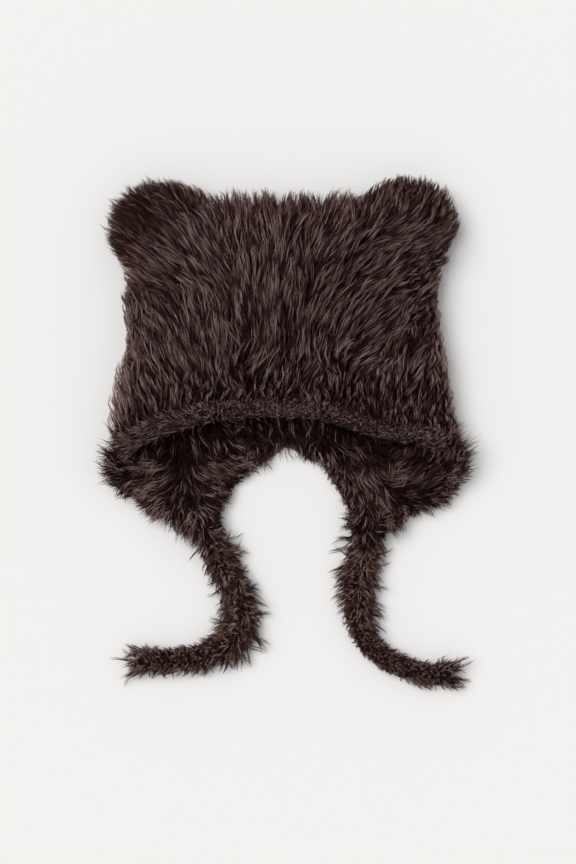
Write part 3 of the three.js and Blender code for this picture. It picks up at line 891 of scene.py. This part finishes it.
def flow_at(table, seeds):
    """Direction and length of the fur at each seed, blended from the nearest rows of a flow table."""
    blend_width = 3
    sharpness = 4
    x, y, lean, length = np.array(table, dtype=float).T
    lean = np.radians(lean)
    distance = np.hypot(seeds[:, :1] - x, seeds[:, 1:2] - y)
    weight = 1 / (distance + blend_width) ** sharpness
    weight /= weight.sum(axis=1, keepdims=True)
    direction = np.stack([weight @ np.sin(lean), weight @ np.cos(lean), np.zeros(len(seeds))], axis=-1)
    return unit(direction), weight @ length


def painted_light_and_shade_at(x, y):
    """How much the painted light and shade lighten or darken the fur at each place, as a share of its
    tone.
    """
    total = np.zeros_like(x)
    for shade in PAINTED_LIGHT_AND_SHADE:
        reach = ((x - shade.x) / shade.radius_x) ** 2 + ((y - shade.y) / shade.radius_y) ** 2
        total += shade.change * np.exp(-reach)
    return total


def turned(directions, normals, angles):
    """Directions turned about the normals."""
    cos, sin = np.cos(angles)[:, None], np.sin(angles)[:, None]
    return directions * cos + np.cross(normals, directions) * sin


def dots(a, b):
    """The dot product of each row of a with its row of b, as a column."""
    return (a * b).sum(axis=1, keepdims=True)


def grow(seeds, normals, directions, lengths, style, ground):
    """The points of each strand from root to tip, and its tone from 0 to 1: a bunch for each seed."""
    lock = locks_of(seeds[:, :2])
    bunch = np.repeat(np.arange(len(seeds)), style["each"])
    count = len(bunch)
    own_turn = LOCK_TURN * rng.normal(size=len(seeds))[lock] + BUNCH_TURN * rng.normal(size=len(seeds))
    own_rise = rng.random(len(seeds))
    own_reach = rng.uniform(*BUNCH_LENGTHS, len(seeds))
    own_phase = rng.uniform(0, 2 * math.pi, len(seeds))
    own_tone = TONE_SPREAD * rng.normal(size=len(seeds))
    own_tone = own_tone + TONE_SPREAD * rng.normal(size=len(seeds))[lock]
    # Higher bunches are lighter: partly random tone, partly painted light on top of the fur and painted
    # shade lower in it
    own_tone = own_tone + style["tone"] + style["contrast"] * own_rise ** style["sparse"]
    # Painted shade in creases, hollows and under the band, and painted light at the thin edges of the fur
    shade = 1 + painted_light_and_shade_at(seeds[:, 0], seeds[:, 1])

    along = unit(directions - normals * dots(directions, normals))
    along = unit(along * (1 - style["stiffness"]) + directions * style["stiffness"])
    angle = math.radians(style["turn"]) * (own_turn[bunch] + STRAND_TURN * rng.normal(size=count))
    normals = normals[bunch]
    along = turned(along[bunch], normals, angle)
    sideways = unit(np.cross(along, normals))

    jitter = style["spread"] * rng.normal(size=(count, 3))
    jitter = jitter - normals * dots(jitter, normals)
    roots = seeds[bunch] + jitter
    inwards = -sideways * dots(jitter, sideways)
    length = lengths[bunch] * style["reach"] * own_reach[bunch] * rng.uniform(*STRAND_LENGTHS, count)
    standing = np.clip(SHORT_FUR_LIFT + lengths / LIFT_LENGTH, 0, 1)
    own_share = LEAST_RISE + BUNCH_RISE * own_rise[bunch] + STRAND_RISE * rng.random(count)
    rise = style["lift"] * standing[bunch] * own_share
    sway = style["wave"] * rng.uniform(*STRAND_WAVES, count)
    pull = style["pull"] * rng.uniform(*STRAND_PULLS, count)

    stations = np.linspace(0, 1, style["stops"])
    points = np.empty((count, len(stations), 3))
    for index, station in enumerate(stations):
        height = rise * np.interp(station, RISE_ALONG["station"], RISE_ALONG["height"])
        bend = sway * station * np.sin(own_phase[bunch] + WAVE_TURN * station)
        point = roots + along * (length * station)[:, None] + normals * height[:, None]
        point = point + sideways * bend[:, None] + inwards * (pull * station ** PULL_POWER)[:, None]
        if station > 0:
            surface = ground(point[:, 0], point[:, 1])
            lowest = surface + CLOTH_CLEARANCE + CLEARANCE_BY_RISE * height
            highest = roots[:, 2] + rise + MOST_CLIMB
            point[:, 2] = np.maximum(point[:, 2], np.minimum(lowest, highest))
        points[:, index] = point
    points[:, :, 2] = np.maximum(points[:, :, 2], TABLE_CLEARANCE)

    tone = shade[bunch] * (own_tone[bunch] + style["fleck"] * (rng.exponential(size=count) - 1))
    return points, np.clip(tone, *TONE_LIMITS)


def strand_faces(rings):
    """Triangles of one strand: its root point, rings of three points, and its tip point."""
    tip = 3 * rings + 1
    faces = [(0, 1, 3), (0, 2, 1), (0, 3, 2)]
    for ring in range(rings - 1):
        for corner in range(3):
            a, b = 1 + 3 * ring + corner, 1 + 3 * ring + (corner + 1) % 3
            faces += [(a, b, b + 3), (a, b + 3, a + 3)]
    faces += [(tip - 3, tip - 2, tip), (tip - 2, tip - 1, tip), (tip - 1, tip - 3, tip)]
    return np.array(faces)


def strands(name, points, tone, width, material):
    """Closed three-sided spindles, each through the points of its strand, with its tone in U."""
    count, stops = points.shape[:2]
    rings = stops - 2
    size = 3 * rings + 2
    thinnest, spread = 0.75, 0.5
    thickness = width * (thinnest + spread * rng.random(count)) / 2
    vertices = np.empty((count, size, 3))
    vertices[:, 0] = points[:, 0]
    vertices[:, -1] = points[:, -1]
    for ring in range(1, rings + 1):
        tangent = unit(points[:, ring + 1] - points[:, ring - 1])
        across, up = across_and_up(tangent)
        share = 1.0 if ring == 1 else TAPER
        for corner in range(3):
            turn = math.pi / 2 + corner * 2 * math.pi / 3
            offset = math.cos(turn) * across + math.sin(turn) * up
            vertices[:, 3 * ring - 2 + corner] = points[:, ring] + offset * (share * thickness)[:, None]
    triangles = (strand_faces(rings)[None] + size * np.arange(count)[:, None, None]).reshape(-1, 3)
    stations = np.linspace(0, 1, stops)
    along = np.concatenate([stations[:1], np.repeat(stations[1:-1], 3), stations[-1:]])
    tip_v = np.where(past_cloth(points[:, -1, 0], points[:, -1, 1]), 1.0, V_OVER_CLOTH)
    uvs = np.empty((count, size, 2))
    uvs[:, :, 0] = tone[:, None]
    uvs[:, :, 1] = tip_v[:, None] * along
    return triangle_object(name, vertices.reshape(-1, 3), triangles, uvs.reshape(-1, 2), material)


def place(obj, slot, *nodes):
    """Every piece rides on the one body and stands for its CAD nodes."""
    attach(obj, "root")
    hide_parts(*nodes)
    return obj


def add_fur(name, node, seeds, normals, directions, lengths, style, ground, material, slot="fur"):
    """One layer of fur, grown from seeds on a node's cloth."""
    points, tone = grow(seeds, normals, directions, lengths, style, ground)
    fur = strands(f"{name}_{style['name']}", points, tone, style["width"], material)
    return place(fur, slot, node)


# Ties

def stitches(height, columns, slant, sink):
    """Relief of slanting columns of loops round a tube, in shares of its radius."""
    def relief(ring, turn):
        return height * np.cos(columns * turn + slant * ring) - sink
    return relief


def tie_core(side, material):
    """A round knitted cord with a rounded end, and the points that it follows."""
    last_ring = 0.02
    path = spline(TIES[side], TIE_CENTRE, TIE_STEPS)
    travelled = np.linspace(0, 1, len(path)) * TIE_LENGTHS[side] / MM
    radius = TIE_DIAMETER / 2
    from_end = travelled[-1] - travelled
    round_end = radius * quarter_round(np.maximum(from_end / radius, last_ring))
    loops = stitches(height=0.035, columns=6, slant=0.9, sink=0.03)
    grid = tube_grid(path, round_end, round_end, TIE_SIDES, loops)
    core = place(tube(f"tie_core_{side}", grid, material), "tie_knit", f"tie_{side}")
    return core, path


def along_path(path, station):
    """Points and directions of a path at shares of the way along it."""
    steps = np.arange(len(path))
    reached = station * (len(path) - 1)
    def read(values):
        return np.column_stack([np.interp(reached, steps, values[:, axis]) for axis in range(3)])
    return read(path), unit(read(np.gradient(path, axis=0)))


def tie_fur_length(side, station, turn, at_end):
    """Length of the fur at each place on a tie, shorter on top and different on its two sides."""
    shorter_on_top = 0.45
    outside = (1 if side == "left" else -1) * np.cos(turn)
    table = TIE_FUR_LENGTHS[side]
    length = np.interp(station, table["share"], table["length"])
    extra = np.interp(station, table["share"], table["outside"])
    on_top = 1 - np.abs(outside)
    return length * (1 + extra * outside) * (1 - shorter_on_top * on_top * (1 - at_end))


def tie_fur(side, path, material):
    """Fur that stands out to both sides of a tie and towards its end."""
    root_depth = 0.4
    below_sides = 0.15
    end_share = 0.06
    forward_lean, forward_spread, forward_at_end = 0.55, 0.35, 1.3
    outward_spread = 0.4
    radius = TIE_DIAMETER / 2 - root_depth
    layers = []
    for style in COATS["tie"]:
        count = style["bunches"]
        station = (np.arange(count) + rng.random(count)) / count
        centre, tangent = along_path(path, station)
        across, up = across_and_up(tangent)
        turn = rng.uniform(-below_sides * math.pi, (1 + below_sides) * math.pi, count)
        radial = across * np.cos(turn)[:, None] + up * np.sin(turn)[:, None]
        from_end = (1 - station) * TIE_LENGTHS[side] / MM
        dome = np.clip(1 - from_end / radius, 0, 1)[:, None]
        narrowing = np.sqrt(1 - dome ** 2)
        normals = radial * narrowing + tangent * dome
        seeds = centre + radial * radius * narrowing
        at_end = np.clip((station - (1 - end_share)) / end_share, 0, 1)
        forward = forward_lean + forward_spread * rng.normal(size=count) + forward_at_end * at_end
        outward = np.cos(turn) + outward_spread * rng.normal(size=count)
        directions = unit(across * outward[:, None] + tangent * forward[:, None])
        lengths = tie_fur_length(side, station, turn, at_end)
        fur = add_fur(
            f"tie_{side}", f"tie_fur_{side}", seeds, normals, directions, lengths, style,
            table_ground, material,
        )
        layers.append(fur)
    return layers


def add_ties(knit, fur):
    """The two ties, each with the sleeve of fur that moves with it."""
    for side in ("left", "right"):
        core, path = tie_core(side, knit)
        sleeve = tie_fur(side, path, fur)


# Cap

def add_front(skin, fur):
    """The front panel, and its fur in two halves."""
    outward_lean = 0.15
    place(shell("front_cloth", front_grid(0.0), front_grid(CLOTH), skin), "fur", "crown_front")
    grid = front_grid(0.0, **FINE_CAP_GRID)
    middle = grid.shape[1] // 2
    for half, part in (("left", grid[:, :middle + 1]), ("right", grid[:, middle:])):
        for style in COATS["front"]:
            seeds, normals = scatter(part, style["bunches"])
            combed, lengths = flow_at(FRONT_FLOW, seeds)
            directions = unit(combed + outward_lean * normals * (1, 1, 0))
            name = f"front_{half}"
            add_fur(name, "crown_front", seeds, normals, directions, lengths, style, cap_ground, fur)


def outside_cap(roots, normals):
    """Whether each place on an ear is clear of the cap and doesn't face down."""
    hidden, steepest = 2, -0.5
    x, y, z = roots.T
    inside = (edge_distance(x, y) > hidden) & (z < front_height(x, y))
    return (normals[:, 2] > steepest) & ~inside


def add_ears(skin, fur):
    """The two ears, with shorter fur at their sides."""
    outward_lean = 0.2
    side_length = 0.75
    for ear in EARS:
        name = ear["name"]
        place(tube(f"{name}_cloth", ear_grid(ear), skin), "fur", name)
        for style in COATS["ear"]:
            grid = ear_grid(ear, **FINE_EAR_GRID)
            seeds, normals = scatter_where(grid, style["bunches"], outside_cap)
            combed, lengths = flow_at(FRONT_FLOW, seeds)
            directions = unit(combed + outward_lean * normals * (1, 1, 0))
            lengths = lengths * (side_length + (1 - side_length) * np.clip(normals[:, 2], 0, 1))
            add_fur(name, name, seeds, normals, directions, lengths, style, cap_ground, fur)


def at_rim(roots, normals):
    """Whether each place is on the outer part of the back panel's rolled side."""
    share = 0.7
    return edge_distance(roots[:, 0], roots[:, 1]) < share * BACK_ROLL


def below_band(roots, normals):
    """Whether each place inside the cap is in view through the face opening, or just behind the band."""
    behind = 6
    x, y = roots[:, 0], roots[:, 1]
    return (y < band_line(x) + behind) & (edge_distance(x, y) > CLOTH)


def add_edge_fur(name, node, walls, middle, fur):
    """Fur that hangs outwards from the cut edges of a cloth and hides them."""
    outward_lean, droop = 0.8, 0.4
    for style in COATS["edge"]:
        count = style["bunches"] // len(walls)
        grown = [scatter_on_wall(wall, count, middle) for wall in walls]
        seeds = np.concatenate([roots for roots, _ in grown])
        normals = np.concatenate([facing for _, facing in grown])
        combed, lengths = flow_at(LOW_FLOW, seeds)
        directions = unit(combed + outward_lean * unit(normals * (1, 1, 0)) - (0, 0, droop))
        add_fur(name, node, seeds, normals, directions, lengths, style, table_ground, fur)


def add_back(skin, fur, lit_through_rim_fur):
    """The back panel, the fur round its rim, and the fur inside it from the band to the neck edge."""
    outward_lean = 0.4
    place(shell("back_cloth", back_grid(CLOTH), back_grid(0.0), skin), "fur", "crown_back")
    for style in COATS["rim"]:
        outside = back_grid(0.0, **FINE_CAP_GRID)[:, ::-1]
        seeds, normals = scatter_where(outside, style["bunches"], at_rim)
        combed, lengths = flow_at(FRONT_FLOW, seeds)
        lengths = np.maximum(lengths, RIM_FUR_LENGTH)
        directions = unit(combed + outward_lean * unit(normals * (1, 1, 0)))
        add_fur("rim", "crown_back", seeds, normals, directions, lengths, style, table_ground, lit_through_rim_fur)
    for style in COATS["neck"]:
        inside = back_grid(CLOTH, **FINE_CAP_GRID)
        seeds, normals = scatter_where(inside, style["bunches"], below_band, spare=12)
        directions, lengths = flow_at(LOW_FLOW, seeds)
        add_fur("neck", "crown_back", seeds, normals, directions, lengths, style, low_ground, fur)
    inner, outer = back_grid(CLOTH)[0], back_grid(0.0)[0]
    at_neck = np.abs(inner[:, 0]) < NECK_HALF_WIDTH
    add_edge_fur("neck", "crown_back", [(inner[at_neck], outer[at_neck])], (0, 0, 0), lit_through_rim_fur)


def add_flaps(skin, fur, lit_through_rim_fur):
    """The two earflaps, with fur on top of them and along their edges."""
    for name, side in (("flap_left", -1), ("flap_right", 1)):
        # Rows go from the tie up and columns from left to right, as in the cap's panels
        upper, lower = flap_grid(side, True)[::-1], flap_grid(side, False)[::-1]
        if side < 0:
            upper, lower = upper[:, ::-1], lower[:, ::-1]
        place(shell(f"{name}_cloth", upper, lower, skin), "fur", name)
        for style in COATS["flap"]:
            seeds, normals = scatter(upper, style["bunches"])
            directions, lengths = flow_at(LOW_FLOW, seeds)
            add_fur(name, name, seeds, normals, directions, lengths, style, table_ground, fur)
        sides = [(upper[:, column], lower[:, column]) for column in (0, -1)]
        add_edge_fur(name, name, sides, upper.mean(axis=(0, 1)), lit_through_rim_fur)


def band_in_view(roots, normals):
    """Whether each place on the band faces up, sideways or to the front."""
    lowest, frontmost = -0.2, -0.6
    return (normals[:, 2] > lowest) | (normals[:, 1] < frontmost)


def add_band(skin, fur):
    """The rolled edge, with short hairs that lie slantwise across it and are longer at its ends."""
    left_end, right_end, end_width = 50, 80, 40
    slants, left_slant = (0.2, 1.1), 2.0
    uphill_lean, uphill_spread = 0.45, 0.7
    hair_lengths, left_extra, right_extra = (4.5, 8.0), 7, 4
    places = list(zip(BAND_PATH["x"], BAND_PATH["y"]))
    xs, ys = np.array(BAND_PATH["x"], float), np.array(BAND_PATH["y"], float)
    path = spline(places, front_height(xs, ys) - CLOTH / 2, BAND_STEPS)
    half_up = np.full(len(path), BAND_THICKNESS / 2)
    half_across = np.full(len(path), BAND_WIDTH / 2)
    loops = stitches(height=0.05, columns=8, slant=1.2, sink=0.04)
    grid = tube_grid(path, half_up, half_across, BAND_SIDES, loops)
    place(tube("band_cloth", grid, skin), "band_knit", "front_band")
    for style in COATS["band"]:
        seeds, normals = scatter_where(grid, style["bunches"], band_in_view, spare=3)
        count = len(seeds)
        nearest = np.abs(seeds[:, :1] - path[None, :, 0]).argmin(axis=1)
        tangent = unit(np.gradient(path, axis=0))[nearest]
        near_left = np.clip((-seeds[:, 0] - left_end) / end_width, 0, 1)
        near_right = np.clip((seeds[:, 0] - right_end) / end_width, 0, 1)
        slant = rng.choice([-1, 1], count) * rng.uniform(*slants, count)
        slant = slant * (1 - near_left) - left_slant * near_left
        across = rng.normal(uphill_lean, uphill_spread, count)
        uphill = unit(np.cross((0.0, 0.0, 1.0), tangent))
        directions = unit(tangent * slant[:, None] + uphill * across[:, None])
        extra = left_extra * near_left + right_extra * near_right
        lengths = rng.uniform(*hair_lengths, count) + extra
        add_fur(
            "band", "front_band", seeds, normals, directions, lengths, style, table_ground, fur,
            "band_knit",
        )


add_camera()
add_surroundings()
add_floor()

skin = knit_material("cloth_under_fur", linear(20, 13, 11), linear(34, 24, 21), scale=300.0)
band_knit = knit_material("band_knit", linear(34, 25, 22), linear(56, 43, 39), scale=350.0)
tie_knit = knit_material("tie_knit", linear(18, 12, 10), linear(36, 27, 24), scale=350.0)
deep_fur = fur_material(
    "fur", linear(15, 4, 2), linear(21, 8, 5), linear(86, 60, 56), linear(162, 139, 135),
    roughness=0.4,
)
# Lighter, warmer fur for the outline's edges and the ties: painted light coming through the thin fur
lit_through_fur = fur_material(
    "lit_through_fur", linear(17, 5, 3), linear(27, 11, 7), linear(92, 67, 60), linear(160, 133, 125),
    roughness=0.4,
)
band_fuzz = fur_material(
    "band_fuzz", linear(18, 7, 5), linear(26, 13, 11), linear(85, 62, 59), linear(150, 129, 126),
    roughness=0.5,
)

add_ties(tie_knit, lit_through_fur)
add_front(skin, deep_fur)
add_ears(skin, deep_fur)
add_back(skin, deep_fur, lit_through_fur)
add_flaps(skin, deep_fur, lit_through_fur)
add_band(band_knit, band_fuzz)
